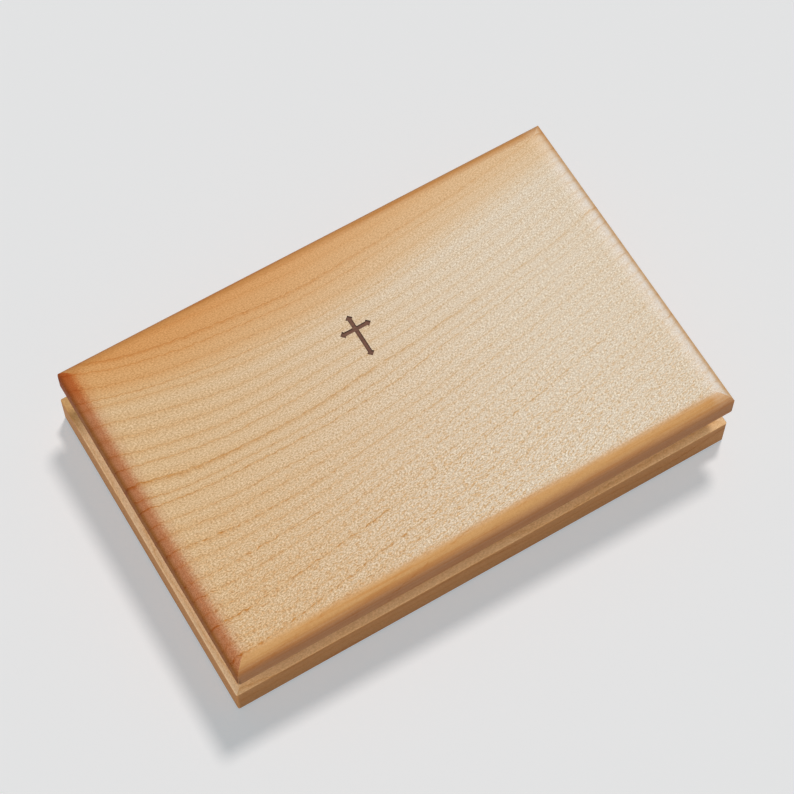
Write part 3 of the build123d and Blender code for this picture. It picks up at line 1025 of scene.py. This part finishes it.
def stage_sky(scene, stage, sky_share):
    """Soft light from above, strongest overhead; the camera and reflections see the plain backdrop."""
    horizon, overhead = 0.35, 1.325
    world = bpy.data.worlds.new("soft_box")
    world.use_nodes = True
    tree = world.node_tree
    tree.nodes.clear()
    way = add(tree, "TexCoord").outputs["Generated"]
    _, _, z = add(tree, "SeparateXYZ", {0: way}).outputs
    level = add(tree, "MapRange", {
        "Value": z, "To Min": horizon * sky_share, "To Max": overhead * sky_share
    })
    light = add(tree, "Background", {"Color": (1, 1, 1, 1), "Strength": level})
    plain = add(tree, "Background", {"Color": stage.backdrop[:], "Strength": 1.0})
    both = add(tree, "MixShader", {0: backdrop_share(tree), 1: light, 2: plain})
    add(tree, "OutputWorld", {"Surface": both})
    scene.world = world


def aim(thing, place, target):
    """Put a lamp or camera at a place, looking at a target."""
    thing.location = place
    thing.rotation_euler = (Vector(target) - Vector(place)).to_track_quat("-Z", "Y").to_euler()


def around(turn, height, distance):
    """Point at a turn round the vertical from +X, a height angle and a distance from the origin."""
    return Vector((cos(turn) * cos(height), sin(turn) * cos(height), sin(height))) * distance


def soft_lamp(name, lamp_share, azimuth, height, softness):
    """Distant lamp that gives a level surface its share of light; a share of 1 shows colours as written."""
    away = 2.0
    light = bpy.data.lights.new(name, "SUN")
    light.energy = pi * lamp_share / sin(height)
    light.angle = softness
    lamp = bpy.data.objects.new(name, light)
    bpy.context.scene.collection.objects.link(lamp)
    aim(lamp, around(azimuth, height, away), (0, 0, 0))
    return lamp


class VALETBOX_OT_stage(bpy.types.Operator):
    """Set the floor, the light and the camera"""

    bl_idname = "valet_box.stage"
    bl_label = "Stage"

    def execute(self, context):
        scene = context.scene
        stage = scene.valet_stage
        scene.view_settings.view_transform = "Standard"

        reach = stage.floor_reach
        corners = [(-reach, -reach, 0), (reach, -reach, 0), (reach, reach, 0), (-reach, reach, 0)]
        sheet = bpy.data.meshes.new("floor")
        sheet.from_pydata(corners, [], [(0, 1, 2, 3)])
        floor = new_piece("floor", sheet, [stage_floor(stage)])

        # The fill lamp leaves the floor alone, so that the key lamp's shadow stays deep
        stage_sky(scene, stage, 1 - stage.key_share - stage.fill_share)
        soft_lamp("key", stage.key_share, stage.key_azimuth, stage.key_height, stage.key_softness)
        fill = soft_lamp("fill", stage.fill_share, stage.fill_azimuth, stage.fill_height, stage.fill_softness)
        unlit = bpy.data.collections.new("left_dark_by_fill")
        unlit.objects.link(floor)
        unlit.collection_objects[0].light_linking.link_state = "EXCLUDE"
        fill.light_linking.receiver_collection = unlit

        lens = bpy.data.cameras.new("camera")
        lens.lens = stage.focal_length
        camera = bpy.data.objects.new("camera", lens)
        scene.collection.objects.link(camera)
        target = Vector((stage.view_x, stage.view_y, 0))
        back = -pi / 2 - stage.view_turn
        aim(camera, target + around(back, stage.view_height, stage.view_distance), target)
        scene.camera = camera
        return {"FINISHED"}


# Sidebar and registration

SETTINGS = {
    "valet_lid": LidSettings,
    "valet_boards": BoardSettings,
    "valet_felt": FeltSettings,
    "valet_brass": BrassSettings,
    "valet_stage": StageSettings,
}
OPERATORS = (
    VALETBOX_OT_lid_board,
    VALETBOX_OT_case_boards,
    VALETBOX_OT_bottom_panel,
    VALETBOX_OT_felts,
    VALETBOX_OT_hinges,
    VALETBOX_OT_screws,
    VALETBOX_OT_stage,
)


class VALETBOX_PT_sidebar(bpy.types.Panel):
    """Settings and steps of the valet box"""

    bl_idname = "VALETBOX_PT_sidebar"
    bl_label = "Valet Box"
    bl_space_type = "VIEW_3D"
    bl_region_type = "UI"
    bl_category = "Valet Box"

    def draw(self, context):
        for operator in OPERATORS:
            self.layout.operator(operator.bl_idname)
        for name, group in SETTINGS.items():
            box = self.layout.box()
            box.label(text=group.__doc__)
            for key in group.__annotations__:
                box.prop(getattr(context.scene, name), key)


CLASSES = (*SETTINGS.values(), *OPERATORS, VALETBOX_PT_sidebar)


def register():
    for cls in CLASSES:
        bpy.utils.register_class(cls)
    for name, group in SETTINGS.items():
        setattr(bpy.types.Scene, name, PointerProperty(type=group))


def unregister():
    for name in SETTINGS:
        delattr(bpy.types.Scene, name)
    for cls in reversed(CLASSES):
        bpy.utils.unregister_class(cls)


def main():
    """Register, then dress the box step by step."""
    register()
    for operator in OPERATORS:
        step = getattr(bpy.ops.valet_box, operator.bl_idname.split(".")[1])
        step()


if __name__ == "__main__":
    main()
